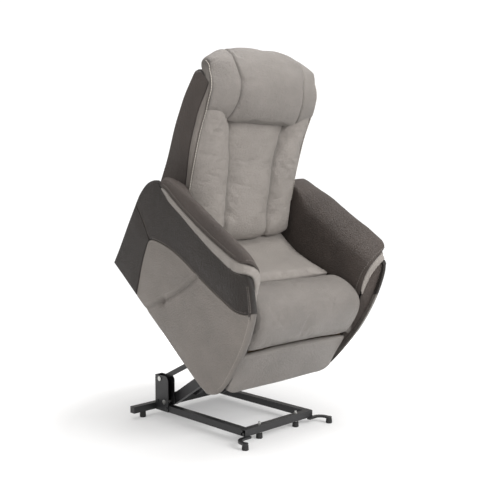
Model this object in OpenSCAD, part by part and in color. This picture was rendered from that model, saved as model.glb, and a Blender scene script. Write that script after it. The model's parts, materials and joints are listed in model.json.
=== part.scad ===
// Lift recliner chair, shown at the top of its lift.
// Frame: +Z up, the chair faces -Y, +X is the sitter's left, millimetres.
// Origin: on the floor, in the middle of the footprint of the lifted chair.
// The upholstered chair is drawn in its own seated frame: "forward" is the distance in front
// of the lower rear corner of its sides and "height" is the distance above their bottom edge.

/* [Lift] */
// Forward tilt of the chair at the top of the lift, in degrees
lift_tilt = 38.4; // [36:0.2:40]
// Height of the chair's lower rear corner above the floor at the top of the lift
lifted_height = 645; // [640:1:655]
// Distance of that corner behind the rear face of the uprights
lifted_back = 121; // [118:1:124]

/* [Base] */
// Outer width across the two floor rails
base_w = 380; // [370:2:390]
// Length from the front bar to the rear face of the uprights
base_l = 538; // [530:2:550]
// Side of the square floor tubes
rail_s = 27; // [24:1:30]
// Wall of the square floor tubes
rail_wall = 2.5; // [1.5:0.5:4]
// Gap between the floor and the rails
floor_gap = 26; // [24:1:30]
// Overall length of the rear bar with its caps
rear_bar_l = 608; // [590:2:620]
// Height of the uprights above the bottom of the rails
upright_h = 148; // [144:1:156]
// Depth of the uprights
upright_d = 84; // [78:1:88]

/* [Chair] */
// Half width at the inner faces of the arms
inner_w = 292.5; // [290:0.5:296]
// Half width over the sides at their bottom edge
bottom_w = 312; // [308:1:320]
// Half width over the sides at the top of the arms
arm_w = 404; // [396:1:412]
// Half width of the seat, the back and the leg rest
pad_w = 287; // [284:0.5:289]

/* [Motion] */
// Radius of the lift pins
pin_r = 6; // [5:0.5:7]
// Radial running clearance of the pins
run_gap = 0.05; // [0.02:0.01:0.1]

/* [Hidden] */
$fn = 40;

black = [0.05, 0.05, 0.055];
steel = [0.75, 0.75, 0.77];
rubber = [0.08, 0.08, 0.08];
light_hide = [0.58, 0.55, 0.52];
dark_hide = [0.24, 0.21, 0.19];
timber = [0.72, 0.58, 0.40];

// Base places: y of the uprights' rear face, and the pivots as [y, z]
base_y = 318;
lower_pivot = [base_y - 60, floor_gap + 40];
upper_pivot = [base_y - 30, floor_gap + 134];
motor_pivot = [base_y - 52, floor_gap + 48];
foot_r = 13;
outrigger_x = 238;
outrigger_y = base_y - 586;

// Chair pivots as [forward, height]
arm_pin = [624, 23.5];
link_pin = [571.5, 45.5];
lift_rod_pin = [510, 221];
back_pivot = [150, 330];
back_lug = [145, 240];
head_pivot = [0, 905];
leaf_top = [-16, 965];
leg_pivot = [640, 190];
control_pivot = [694, 220];
leg_elbow = [645.6, 30.1];
parallel_pin = [643.5, 90.1];
control_end = [671.1, 73.1];
rest_pin = [722, 155];
rest_upper_pin = rest_pin + parallel_pin - leg_elbow;
leg_motor_pivot = [250, 132];
leg_lug = [614.5, 153];
// The leg rod's eye is this far below its pin at both ends of the travel, and above it midway
leg_eye_drop = 6.5;
back_motor_pivot = [575, 120];

// Sideways planes of the flat links and plates, each [inner x, outer x]
arm_x = [128, 153];
link_x = [168, 176];
parallel_x = [218, 224];
swing_x = [226, 232];
extension_x = [234, 240];
control_x = [242, 248];
leg_plate_x = [252, 258];
leg_pin_r = 5;
leg_actuator_x = -100;
back_actuator_x = 100;

front_tube = [600, 85];
mid_tube = [510, 252];

function lifted(p) = [
    base_y + lifted_back - p[0] * cos(lift_tilt) - p[1] * sin(lift_tilt),
    lifted_height - p[0] * sin(lift_tilt) + p[1] * cos(lift_tilt)];
// Angle above the forward direction from one [y, z] place to another
function rise(p, q) = atan2(q[1] - p[1], p[0] - q[0]);
// Angle above the forward direction between two [forward, height] places
function pitch(p, q) = atan2(q[1] - p[1], q[0] - p[0]);
function flip(p) = [-p[0], p[1]];
// Points of a quadratic curve from a to c that leaves and arrives towards b
function curve(a, b, c, n = 8) = [for (i = [0:n]) let (t = i / n)
    (1 - t) * (1 - t) * a + 2 * t * (1 - t) * b + t * t * c];
function arc(c, r, a0, a1, n = 8) = [for (i = [0:n]) let (t = a0 + (a1 - a0) * i / n)
    c + r * [cos(t), sin(t)]];

// Places its children from the chair's seated frame at the top of the lift
module in_chair() {
    translate([0, base_y + lifted_back, lifted_height]) rotate([lift_tilt, 0, 0]) children();
}

// Extrudes a [forward, height] outline sideways from x0 to x1
module across(x0, x1) {
    translate([x1, 0, 0]) rotate([90, 0, -90]) linear_extrude(x1 - x0) children();
}

// The same on both sides of the middle
module both(x) {
    across(x[0], x[1]) children();
    across(-x[1], -x[0]) children();
}

// Flat bar between two places, with a hole at each and round ends a hair wider than the bar
module bar(p, q, w, hole_p, hole_q) {
    shank_w = w - 0.2;
    difference() {
        union() {
            translate(p) rotate(pitch(p, q)) translate([0, -shank_w / 2]) square([norm(q - p), shank_w]);
            translate(p) circle(w / 2);
            translate(q) circle(w / 2);
        }
        if (hole_p > 0) translate(p) circle(hole_p);
        if (hole_q > 0) translate(q) circle(hole_q);
    }
}

// Round bar along x at a [forward, height] place
module rod_x(p, r, x0, x1) {
    across(x0, x1) translate(p) circle(r);
}

// Round tube along x at a [forward, height] place
module tube_x(p, r, wall, x0, x1) {
    across(x0, x1) translate(p) difference() {
        circle(r);
        circle(r - wall);
    }
}

// Square floor tube lying along y
module floor_rail(x) {
    translate([x, base_y - base_l + rail_s, floor_gap])
        rotate([-90, 0, 0]) translate([0, -rail_s, 0])
            linear_extrude(base_l - rail_s) hollow_square();
}

module hollow_square() {
    difference() {
        square(rail_s);
        translate([rail_wall, rail_wall]) square(rail_s - 2 * rail_wall);
    }
}

module base_rail_left() {
    color(black) floor_rail(base_w / 2 - rail_s);
}

module base_rail_right() {
    color(black) floor_rail(-base_w / 2);
}

// Square tube along x whose lower rear corner is at [y, z]
module square_tube_x(y, z, length) {
    translate([-length / 2, y, z]) rotate([90, 0, 90]) linear_extrude(length) hollow_square();
}

module base_front_bar() {
    color(black) square_tube_x(base_y - base_l, floor_gap, base_w);
}

module base_rear_bar() {
    color(black) square_tube_x(base_y, floor_gap, rear_bar_l - 8);
}

module rear_bar_caps() {
    color(rubber) for (side = [-1, 1])
        translate([side * (rear_bar_l / 2 - 2), base_y + rail_s / 2, floor_gap + rail_s / 2])
            cube([4, rail_s, rail_s], center = true);
}

// Round rubber foot with a domed edge, standing on the floor
module foot(x, y, r, h) {
    translate([x, y, 0]) rotate_extrude() polygon(concat([[0, 0]],
        curve([r - 3, 0], [r, 0], [r, 3], 4), [[r - 1, h], [0, h]]));
}

module rear_bar_feet() {
    color(rubber) for (side = [-1, 1]) foot(side * 250, base_y + rail_s / 2, foot_r, floor_gap);
}

// Channel plate standing on a floor rail, with the pins of both lift bars
module upright(side) {
    outer = [base_w / 2, base_w / 2 + 4];
    inner = [base_w / 2 - rail_s - 5, base_w / 2 - rail_s - 1];
    module plate(x, low) {
        sx = side > 0 ? x : [-x[1], -x[0]];
        translate([0, base_y, floor_gap]) across(sx[0], sx[1]) difference() {
            polygon(concat([[0, low], [upright_d, low]],
                arc([upright_d - 18, upright_h - 18], 18, 0, 90, 6), [[0, upright_h]]));
            translate([60, 40]) circle(pin_r);
            translate([30, 134]) circle(pin_r);
        }
    }
    plate(outer, 0);
    plate(inner, rail_s + 0.5);
    web_w = outer[1] - inner[0];
    translate([side > 0 ? inner[0] : -outer[1], base_y - 4, floor_gap + rail_s + 0.5])
        cube([web_w, 4, upright_h - rail_s - 0.5]);
}

module upright_left() {
    color(black) upright(1);
}

module upright_right() {
    color(black) upright(-1);
}

// Tube between the uprights that carries the lift motor's lugs
module base_cross_tube() {
    width = base_w - 2 * rail_s - 10;
    color(black) {
        translate([0, base_y - 4 - rail_s, floor_gap + rail_s + 0.5]) translate([-width / 2, 0, 0])
            rotate([90, 0, 90]) linear_extrude(width) hollow_square();
        for (side = [-1, 1]) across(side * 13 - 2.5, side * 13 + 2.5) difference() {
            union() {
                translate([-base_y + 4 + rail_s, motor_pivot[1] - 12]) square([22, 24]);
                translate(flip(motor_pivot)) circle(12);
            }
            translate(flip(motor_pivot)) circle(pin_r);
        }
        translate([0, motor_pivot[0], motor_pivot[1]]) rotate([0, 90, 0])
            cylinder(r = pin_r, h = 36, center = true);
    }
}

module levelling_feet() {
    color(rubber) for (side = [-1, 1])
        foot(side * 103, base_y - base_l + rail_s / 2, foot_r, floor_gap - 6);
}

// Bright studs of the front feet, with a nut above and below the bar
module levelling_bolts() {
    y = base_y - base_l + rail_s / 2;
    color(steel) for (side = [-1, 1]) translate([side * 103, y, 0]) {
        translate([0, 0, floor_gap - 6]) cylinder(r = 7, h = 6, $fn = 6);
        translate([0, 0, floor_gap + rail_s]) cylinder(r = 6.5, h = 5, $fn = 6);
        translate([0, 0, floor_gap + rail_s + 5]) cylinder(r = 4, h = 7);
    }
}

// Curved arm that reaches forward from a front corner to its own foot
module outriggers() {
    bend = 34;
    strip = 16;
    z = floor_gap - 8;
    root_x = base_w / 2 - 24;
    color(black) for (side = [0, 1]) mirror([side, 0, 0]) translate([0, 0, z]) linear_extrude(8) {
        translate([outrigger_x - bend, outrigger_y + 14]) intersection() {
            difference() {
                circle(bend + strip / 2);
                circle(bend - strip / 2);
            }
            square(2 * bend);
        }
        translate([root_x, outrigger_y + 14 + bend - strip / 2])
            square([outrigger_x - bend - root_x, strip]);
        translate([outrigger_x - strip / 2, outrigger_y]) square([strip, 14]);
        translate([outrigger_x, outrigger_y]) circle(11);
    }
}

module outrigger_feet() {
    color(rubber) for (side = [-1, 1]) foot(side * outrigger_x, outrigger_y, foot_r, floor_gap - 8);
}

// Hexagon heads at the front corners and on the uprights
module frame_bolts() {
    y0 = base_y - base_l;
    z0 = floor_gap;
    places = [[y0 + 9, z0 + 9], [y0 + 18, z0 + 19], [base_y - 16, z0 + 40], [base_y - 74, z0 + 16]];
    color(steel) for (side = [-1, 1], p = places) {
        x = p[0] < 0 ? base_w / 2 : base_w / 2 + 4;
        translate([side * x, p[0], p[1]]) rotate([0, side * 90, 0]) cylinder(r = 5, h = 3.5, $fn = 6);
    }
}

// Pins on which the lower and upper lift bars turn
module base_pivot_pins() {
    color(steel) for (side = [-1, 1]) {
        outer = base_w / 2 + 7;
        for (p = [[lower_pivot, 121], [upper_pivot, 155]]) {
            x0 = side > 0 ? p[1] : -outer;
            rod_x(flip(p[0]), pin_r, x0, x0 + outer - p[1]);
            head = side > 0 ? outer - 3 : -outer;
            rod_x(flip(p[0]), pin_r + 4, head, head + 3);
        }
    }
}

// Rectangular tubes that carry the chair's weight up
module lift_arms() {
    p = flip(lower_pivot);
    q = flip(lifted(arm_pin));
    color(black) both(arm_x) bar(p, q, 40, pin_r + run_gap, pin_r + run_gap);
}

module lift_torque_tube() {
    p = flip(lower_pivot);
    q = flip(lifted(arm_pin));
    color(black) tube_x(p + 0.55 * (q - p), 15, 3, -arm_x[0], arm_x[0]);
}

module upper_links() {
    p = flip(upper_pivot);
    q = flip(lifted(link_pin));
    color(black) both(link_x) bar(p, q, 20, pin_r + run_gap, 0);
}

// Linear drive along +Z from its rear eye at the origin: gear case, motor and outer tube
module drive(eye_w, tube_r, tube_end, pocket, side) {
    difference() {
        union() {
            rotate([0, 90, 0]) cylinder(r = 11, h = eye_w, center = true);
            translate([-eye_w / 2, -11, 0]) cube([eye_w, 22, 34]);
            translate([side * (tube_r + 4) - 2 * tube_r - 8, -tube_r - 4, 30])
                cube([4 * tube_r + 16, 2 * tube_r + 8, 64]);
            translate([0, 0, 90]) cylinder(r = tube_r, h = tube_end - 90);
            translate([0, 0, tube_end - 14]) cylinder(r = tube_r + 3, h = 14);
            translate([side * (2 * tube_r + 8), 0, 90]) cylinder(r = tube_r + 2, h = 70);
            translate([side * (2 * tube_r + 8), 0, 160]) cylinder(r = tube_r - 4, h = 8);
        }
        rotate([0, 90, 0]) cylinder(r = pin_r + run_gap, h = 3 * eye_w, center = true);
        translate([0, 0, pocket]) cylinder(r = 9.4, h = tube_end);
    }
}

// Push rod along +Z that ends in a fork eye at the given distance from the drive's rear eye
module push_rod(reach, length, eye_w, eye_hole) {
    eye_r = eye_hole + 4;
    difference() {
        union() {
            translate([0, 0, reach - length]) cylinder(r = 9, h = length - eye_hole - 1);
            translate([0, 0, reach]) rotate([0, 90, 0]) cylinder(r = eye_r, h = eye_w, center = true);
        }
        translate([0, 0, reach]) rotate([0, 90, 0])
            cylinder(r = eye_hole, h = 3 * eye_w, center = true);
    }
}

// Stands its children's +Z axis along the direction at an angle above forward
module aim(y, z, angle, x = 0) {
    translate([x, y, z]) rotate([90 - angle, 0, 0]) children();
}

lift_aim = rise(motor_pivot, lifted(lift_rod_pin));
lift_reach = norm(lifted(lift_rod_pin) - motor_pivot);
leg_eye = leg_lug - [0, leg_eye_drop];
leg_aim = pitch(leg_motor_pivot, leg_eye);
leg_reach = norm(leg_eye - leg_motor_pivot);
back_aim = pitch(back_motor_pivot, back_lug);
back_reach = norm(back_lug - back_motor_pivot);

module lift_motor() {
    color(black) aim(motor_pivot[0], motor_pivot[1], lift_aim) drive(18, 20, 330, 74, 1);
}

module lift_rod() {
    color(steel) aim(motor_pivot[0], motor_pivot[1], lift_aim)
        push_rod(lift_reach, 270, 16, pin_r + 4);
}

module leg_motor() {
    color(black) in_chair() aim(-leg_motor_pivot[0], leg_motor_pivot[1], leg_aim, leg_actuator_x)
        drive(16, 16, 290, 110, -1);
}

module leg_rod() {
    color(steel) in_chair() aim(-leg_motor_pivot[0], leg_motor_pivot[1], leg_aim, leg_actuator_x)
        push_rod(leg_reach, 220, 12, leg_pin_r + 8);
}

module back_motor() {
    color(black) in_chair() aim(-back_motor_pivot[0], back_motor_pivot[1], back_aim, back_actuator_x)
        drive(16, 16, 290, 110, 1);
}

module back_rod() {
    color(steel) in_chair() aim(-back_motor_pivot[0], back_motor_pivot[1], back_aim, back_actuator_x)
        push_rod(back_reach, 260, 12, leg_pin_r + 8);
}

// Side rails under the seat with the plates of the lift, back and leg pivots
module carriage_rails() {
    color(black) in_chair() {
        both([262, 280]) translate([90, 34]) square([560, 42]);
        both([281, 284.5]) difference() {
            union() {
                translate([110, 34]) square([80, 60]);
                bar([150, 90], back_pivot, 36, 0, 0);
            }
            translate(back_pivot) circle(pin_r);
        }
        both(leg_plate_x) difference() {
            union() {
                translate([612, 60]) square([56, 130]);
                translate(leg_pivot) circle(28);
                bar([650, 190], control_pivot, 28, 0, 0);
            }
            translate(leg_pivot) circle(leg_pin_r);
            translate(control_pivot) circle(leg_pin_r);
        }
        for (x = [[121, 126], [155, 160]]) both(x) difference() {
            union() {
                bar(front_tube, arm_pin, 30, 0, 0);
                bar(front_tube, link_pin, 28, 0, 0);
            }
            translate(front_tube) circle(13);
            translate(arm_pin) circle(pin_r);
        }
    }
}

// Tubes from side to side: rear, front, under the seat, and behind the leg motor
module carriage_cross_tubes() {
    color(black) in_chair() {
        for (p = [[110, 58], front_tube, [222, 165]]) tube_x(p, 13, 3, -261.5, 261.5);
        tube_x(mid_tube, 12, 3, -264.5, 264.5);
        both([12, 17]) lug(mid_tube, 12, lift_rod_pin, pin_r);
        for (x = [leg_actuator_x - 15, leg_actuator_x + 10])
            across(x, x + 5) lug([222, 165], 13, leg_motor_pivot, pin_r);
        for (x = [back_actuator_x - 15, back_actuator_x + 10])
            across(x, x + 5) lug(front_tube, 13, back_motor_pivot, pin_r);
    }
}

// Plate that hangs from a tube of the given radius, with a pin hole
module lug(tube, tube_r, pin, hole_r) {
    difference() {
        bar(tube, pin, 22, 0, 0);
        translate(tube) circle(tube_r - 1.5);
        translate(pin) circle(hole_r);
    }
}

// Pins on the chair side of the lift, and those of the drives and the leg links
module carriage_pins() {
    color(steel) in_chair() {
        both([119, 162]) translate(arm_pin) circle(pin_r);
        both([10, 19]) translate(lift_rod_pin) circle(pin_r);
        rod_x(leg_motor_pivot, pin_r, leg_actuator_x - 17, leg_actuator_x + 17);
        rod_x(back_motor_pivot, pin_r, back_actuator_x - 17, back_actuator_x + 17);
        both([swing_x[0] - 2, 260]) translate(leg_pivot) circle(leg_pin_r);
        both([control_x[0] - 2, 260]) translate(control_pivot) circle(leg_pin_r);
        both([273, 286.5]) translate(back_pivot) circle(pin_r);
    }
}

// Timber sides of the seat box
module seat_side_rails() {
    color(timber) in_chair() both([265, 287]) translate([232, 240]) square([488, 44]);
}

module seat_cross_rails() {
    color(timber) in_chair() {
        across(-264.5, 264.5) translate([238, 262]) square([12, 22]);
        across(-264.5, 264.5) translate([698, 242]) square([20, 42]);
    }
}

// Row of zigzag seat springs between the cross rails
module seat_springs() {
    wire = 4;
    turns = 26;
    length = 446.6;
    run = [for (i = [0:turns]) [(i % 2 == 0 ? -24 : 24), (i + 0.5) * length / (turns + 1)]];
    color(steel) in_chair() for (x = [-200:100:200])
        translate([x, -697.6, 272]) linear_extrude(wire) {
            polygon(concat([for (p = run) p + [wire, 0]],
                [for (i = [turns:-1:0]) run[i] - [wire, 0]]));
            for (end = [[run[0], 0], [run[turns], length - 14]])
                translate([end[0][0] - 3, end[1]]) square([6, 14]);
        }
}

module seat_cushion() {
    color(light_hide) in_chair() across(-pad_w, pad_w) polygon(concat([[224, 285], [548, 285]],
        [[548, 390]], curve([540, 396], [380, 350], [234, 338], 10), [[224, 328]]));
}

module seat_front_roll() {
    color(light_hide) in_chair() across(-pad_w, pad_w) polygon(concat(
        [[551, 285], [735, 285], [735, 262], [758, 262]],
        curve([770, 272], [776, 432], [690, 434], 10),
        curve([680, 434], [600, 436], [551, 396], 6)));
}

// Outline of one side of the chair, seen square on
side_front = curve([776, 85], [798, 290], [735, 465]);
arm_front = concat(curve([735, 465], [712, 534], [664, 560], 6),
    curve([660, 564], [654, 604], [612, 613], 5));
side_rear = curve([140, 548], [62, 520], [28, 395], 6);
side_outline = concat([[0, 6], [6, 0], [700, 0]], curve([712, 0], [755, 0], [776, 85], 6),
    side_front, arm_front, [[150, 559]], side_rear, [[12, 219]]);
// Seam between the rear panel and the light panel, then its top seam, rear to front
rear_seam = curve([200, 0], [150, 140], [169, 273]);
top_seam = concat(curve([169, 273], [235, 345], [400, 362]), curve([400, 362], [560, 375], [700, 410]));
// Lower and upper edges of the strip along the arm
strip_low = curve([140, 500], [300, 478], [690, 530], 8);
strip_high = curve([140, 506], [350, 513], [700, 590], 8);
panel_gap = 0.4;

// Vertical front view mask that slopes outwards from the bottom edge to the arm
module slope(side, x0) {
    x1 = bottom_w;
    x2 = arm_w;
    rotate([90, 0, 0]) translate([0, 0, -10]) linear_extrude(820) scale([side, 1])
        polygon([[x0, -5], [x1, -5], [x2, 590], [x2, 620], [x0, 620]]);
}

// Mask for the arm pad: a ridge near its outer edge that rises forwards, and a slope down inwards
ridge_pitch = 7;
module ridge(side) {
    translate([0, 0, 534.5]) rotate([90 - ridge_pitch, 0, 0]) translate([0, 0, -80])
        linear_extrude(900) scale([side, 1]) polygon([[200, -700], [420, -700], [420, -20],
            [398, -4], [385, 0], [360, -8], [338, -24], [315, -46], [300, -72], [290, -96],
            [200, -110]]);
}

// Plan mask that rounds the front edge of a side inwards
module plan(side) {
    translate([0, 0, -10]) linear_extrude(640) scale([side, -1])
        polygon(concat([[200, -10], [410, -10], [410, 600]],
            curve([arm_w + 4, 640], [arm_w, 780], [arm_w - 60, 812], 8), [[200, 812]]));
}

// One outer panel: a region of the side outline between the inner wall and the slope
module outer_panel(side) {
    in_chair() intersection() {
        across(side > 0 ? 200 : -420, side > 0 ? 420 : -200) intersection() {
            polygon(side_outline);
            children();
        }
        slope(side, inner_w + 13);
        plan(side);
    }
}

module light_region() {
    polygon(concat(rear_seam, top_seam, [[820, 452], [820, -20], [200, -20]]));
}

module rear_region() {
    offset_x = -panel_gap;
    polygon(concat([[-20, -20], [200 + offset_x, -20]],
        [for (p = rear_seam) p + [offset_x, 0]], [[-20, 350]]));
}

module upper_region() {
    polygon(concat([[-20, 350 + panel_gap], [169, 273 + 2 * panel_gap]],
        [for (p = top_seam) p + [0, 2 * panel_gap]], [[820, 452 + 2 * panel_gap], [820, 515]],
        [for (i = [len(strip_low) - 1:-1:0]) strip_low[i] - [0, panel_gap]],
        [[99.5, 505], [99.5, 640], [-20, 640]]));
}

module strip_region() {
    polygon(concat(strip_low, [[820, 516], [820, 600]],
        [for (i = [len(strip_high) - 1:-1:0]) strip_high[i] - [0, panel_gap]]));
}

module top_region() {
    polygon(concat(strip_high, [[820, 601], [820, 700], [100, 700], [100, 506]]));
}

module side_panel(side) {
    color(light_hide) outer_panel(side) light_region();
}

module rear_panel(side) {
    color(dark_hide) outer_panel(side) rear_region();
}

module arm_panel(side) {
    color(dark_hide) outer_panel(side) upper_region();
}

module arm_gusset(side) {
    color(light_hide) outer_panel(side) strip_region();
}

// Padded inner wall and top of the arm
module arm_top(side) {
    x = inner_w + 12.5;
    color(dark_hide) {
        intersection() {
            outer_panel(side) top_region();
            in_chair() ridge(side);
        }
        intersection() {
            in_chair() across(side > 0 ? inner_w : -x, side > 0 ? x : -inner_w) intersection() {
                polygon(side_outline);
                translate([60, 20]) square([700, 600]);
            }
            in_chair() ridge(side);
        }
    }
}

module left_side_panel() { side_panel(1); }
module left_rear_panel() { rear_panel(1); }
module left_arm_panel() { arm_panel(1); }
module left_arm_gusset() { arm_gusset(1); }
module left_arm_top() { arm_top(1); }
module right_side_panel() { side_panel(-1); }
module right_rear_panel() { rear_panel(-1); }
module right_arm_panel() { arm_panel(-1); }
module right_arm_gusset() { arm_gusset(-1); }
module right_arm_top() { arm_top(-1); }

// Fixed panel across the lower rear, between the sides
module rear_cover() {
    color(dark_hide) in_chair() across(-inner_w + 0.5, inner_w - 0.5)
        polygon([[-2, 15], [8, 15], [8, 270], [-2, 270]]);
}

module control_box() {
    color(black) in_chair() {
        translate([170, -420, 178]) cube([80, 130, 42]);
        translate([178, -412, 220]) cube([64, 114, 8]);
    }
}

// Socket for the mains lead at the rear of the control box
module power_inlet() {
    color(rubber) in_chair() translate([210, -289.8, 199]) rotate([-90, 0, 0]) difference() {
        cylinder(r = 11, h = 12);
        translate([0, 0, 3]) cylinder(r = 7, h = 12);
        translate([-12, -12, 9]) cube([24, 4, 4]);
    }
}

// Welded frame inside the back, with the hinge plates and the drive lug
module back_frame() {
    top = [-46, 870];
    mid = [32, 600];
    color(black) in_chair() {
        both([258, 272]) {
            bar(back_pivot, mid, 22, 0, 0);
            bar(mid, top, 22, 0, 0);
        }
        both([272, 280.5]) difference() {
            translate(back_pivot) circle(24);
            translate(back_pivot) circle(pin_r + run_gap);
        }
        for (p = [back_pivot, mid, top]) rod_x(p, 9, -258, 258);
        both([102, 116]) translate(head_pivot) circle(pin_r);
        for (x = [back_actuator_x - 15, back_actuator_x + 10]) across(x, x + 5) difference() {
            bar(back_pivot, back_lug, 20, 0, 0);
            translate(back_lug) circle(leg_pin_r);
        }
        rod_x(back_lug, leg_pin_r, back_actuator_x - 17, back_actuator_x + 17);
        both([110, 114]) difference() {
            bar(top, head_pivot, 18, 0, pin_r);
            translate([-80, 912]) square(80);
        }
    }
}

rear_line = [[12, 420], [-72, 859]];
// Dark outer skin of the back: a bent rear panel and two side walls
module back_shell() {
    edge = [[27, 866], [41, 804], [96, 631], [143, 517], [184, 420]];
    color(dark_hide) in_chair() {
        difference() {
            across(-272, 272) polygon(concat(arc(back_pivot, 137, 205, 158, 8), rear_line,
                curve([-72, 859], [-70, 898], [-34, 898], 6), [[16, 898], [18, 888], [-34, 888]],
                curve([-34, 888], [-60, 888], [-62, 858], 6),
                [[22, 424]], arc(back_pivot, 129, 158, 205, 8)));
            both([100, 118]) translate([-42, 884]) square([70, 20]);
        }
        both([272, 285]) polygon(concat([[12, 420]], [rear_line[1]],
            curve([-72, 859], [-70, 898], [-34, 898], 6), [[14, 898]], edge));
    }
}

// Front line of the back cushion, bottom to top
back_front = [[300, 378], [240, 466], [138, 641], [68, 766], [62, 776]];
module back_cushion() {
    color(light_hide) in_chair() {
        across(-pad_w + 15, pad_w - 15) polygon(concat([[214, 352], [296, 370]], back_front,
            [[14, 872], [-14, 860], [-4, 776]], [[68, 641], [168, 466], [198, 400]]));
    }
}

// Light side bands between the cushion and the shell
module back_gussets() {
    color(light_hide) in_chair() both([272.5, 287]) polygon([[188, 421], [252, 424], [155, 601],
        [90, 736], [70, 777], [50, 793], [100.5, 632], [147.5, 518]]);
}

module headrest_lower_pad() {
    color(light_hide) in_chair() across(-pad_w, pad_w) polygon(concat(
        [[52, 798], [74, 780]], curve([90, 778], [112, 812], [100, 862], 6),
        [[88, 892], [40, 898], [24, 882]]));
}

// Padded top of the headrest, which tips forward about the head hinge
module headrest_cushion() {
    color(light_hide) in_chair() difference() {
        intersection() {
            across(-pad_w, pad_w) polygon(concat([[-62, 913], [14, 913], [72, 944]],
                curve([66, 952], [44, 1004], [-34, 1013], 6),
                curve([-48, 1013], [-100, 1006], [-88, 930], 6)));
            headrest_mask();
        }
        both([103, 115]) leaf(1, 0);
        rod_x(leaf_top, 10, -115, 115);
    }
}

// Front view of the headrest, with rounded upper corners
module headrest_mask() {
    rotate([90, 0, 0]) translate([0, 0, -150]) linear_extrude(300) polygon(concat(
        [[-pad_w, 900], [pad_w, 900], [pad_w, 930]],
        curve([pad_w, 944], [pad_w - 20, 1000], [130, 1012], 8),
        curve([-130, 1012], [-pad_w + 20, 1000], [-pad_w, 944], 8), [[-pad_w, 930]]));
}

// Outline of a headrest leaf with its ratchet head, and of its slot in the cushion
module leaf(slack, hole) {
    bar(head_pivot, leaf_top, 16 + 2 * slack, hole, 0);
    if (hole == 0) translate([-12, 900]) square([24, 20]);
}

// Hinged leaves and top bar that carry the headrest inside its padding
module headrest_frame() {
    color(black) in_chair() {
        both([104, 109.5]) leaf(0, pin_r + run_gap);
        rod_x(leaf_top, 9, -109.5, 109.5);
    }
}

module footrest_board() {
    color(timber) in_chair() {
        across(-280, 280) translate([733, 62]) square([11, 180]);
        both(swing_x) difference() {
            union() {
                translate([708, 130]) square([25.5, 100]);
                translate(rest_pin) circle(10);
                translate(rest_upper_pin) circle(10);
            }
            translate(rest_pin) circle(leg_pin_r);
            translate(rest_upper_pin) circle(leg_pin_r);
        }
        both([parallel_x[0] - 2, swing_x[1]]) translate(rest_upper_pin) circle(leg_pin_r);
        both([swing_x[0], extension_x[1] + 2]) translate(rest_pin) circle(leg_pin_r);
    }
}

module footrest_cushion() {
    color(light_hide) in_chair() across(-pad_w, pad_w) polygon(concat([[744.3, 60]],
        curve([750, 52], [795, 50], [795, 76], 5), curve([795, 220], [794, 250], [762, 251], 5),
        [[744.3, 248]]));
}

// Lower half of the leg mechanism with its torque tube and drive lug
module leg_swing_links() {
    color(black) in_chair() {
        both(swing_x) bar(leg_pivot, leg_elbow, 24, leg_pin_r + run_gap, leg_pin_r);
        both([swing_x[0], extension_x[1] + 2]) translate(leg_elbow) circle(leg_pin_r);
        both([parallel_x[0] - 2, swing_x[1]]) translate(parallel_pin) circle(leg_pin_r);
        tube_x(leg_pivot, 12, 3, -swing_x[0], swing_x[0]);
        for (x = [leg_actuator_x - 15, leg_actuator_x + 10])
            across(x, x + 5) lug(leg_pivot, 12, leg_lug, leg_pin_r);
        rod_x(leg_lug, leg_pin_r, leg_actuator_x - 17, leg_actuator_x + 17);
    }
}

module leg_extension_links() {
    color(black) in_chair()
        both(extension_x) bar(leg_elbow, rest_pin, 20, leg_pin_r + run_gap, leg_pin_r + run_gap);
}

module leg_parallel_links() {
    color(black) in_chair()
        both(parallel_x) bar(parallel_pin, rest_upper_pin, 20, leg_pin_r + run_gap, leg_pin_r + run_gap);
}

module leg_control_links() {
    color(black) in_chair()
        both(control_x) bar(control_pivot, control_end, 20, leg_pin_r + run_gap, 0);
}

base_rail_left();
base_rail_right();
base_front_bar();
base_rear_bar();
rear_bar_caps();
rear_bar_feet();
upright_left();
upright_right();
base_cross_tube();
levelling_feet();
levelling_bolts();
outriggers();
outrigger_feet();
frame_bolts();
base_pivot_pins();
lift_arms();
lift_torque_tube();
upper_links();
lift_motor();
lift_rod();
carriage_rails();
carriage_cross_tubes();
carriage_pins();
seat_side_rails();
seat_cross_rails();
seat_springs();
seat_cushion();
seat_front_roll();
left_side_panel();
left_rear_panel();
left_arm_panel();
left_arm_gusset();
left_arm_top();
right_side_panel();
right_rear_panel();
right_arm_panel();
right_arm_gusset();
right_arm_top();
rear_cover();
control_box();
power_inlet();
back_frame();
back_shell();
back_cushion();
back_gussets();
headrest_lower_pad();
headrest_cushion();
headrest_frame();
footrest_board();
footrest_cushion();
leg_swing_links();
leg_extension_links();
leg_parallel_links();
leg_control_links();
leg_motor();
leg_rod();
back_motor();
back_rod();
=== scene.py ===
import json
import math

import bmesh
import bpy
import numpy as np
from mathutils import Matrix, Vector
from mathutils.geometry import delaunay_2d_cdt


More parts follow.
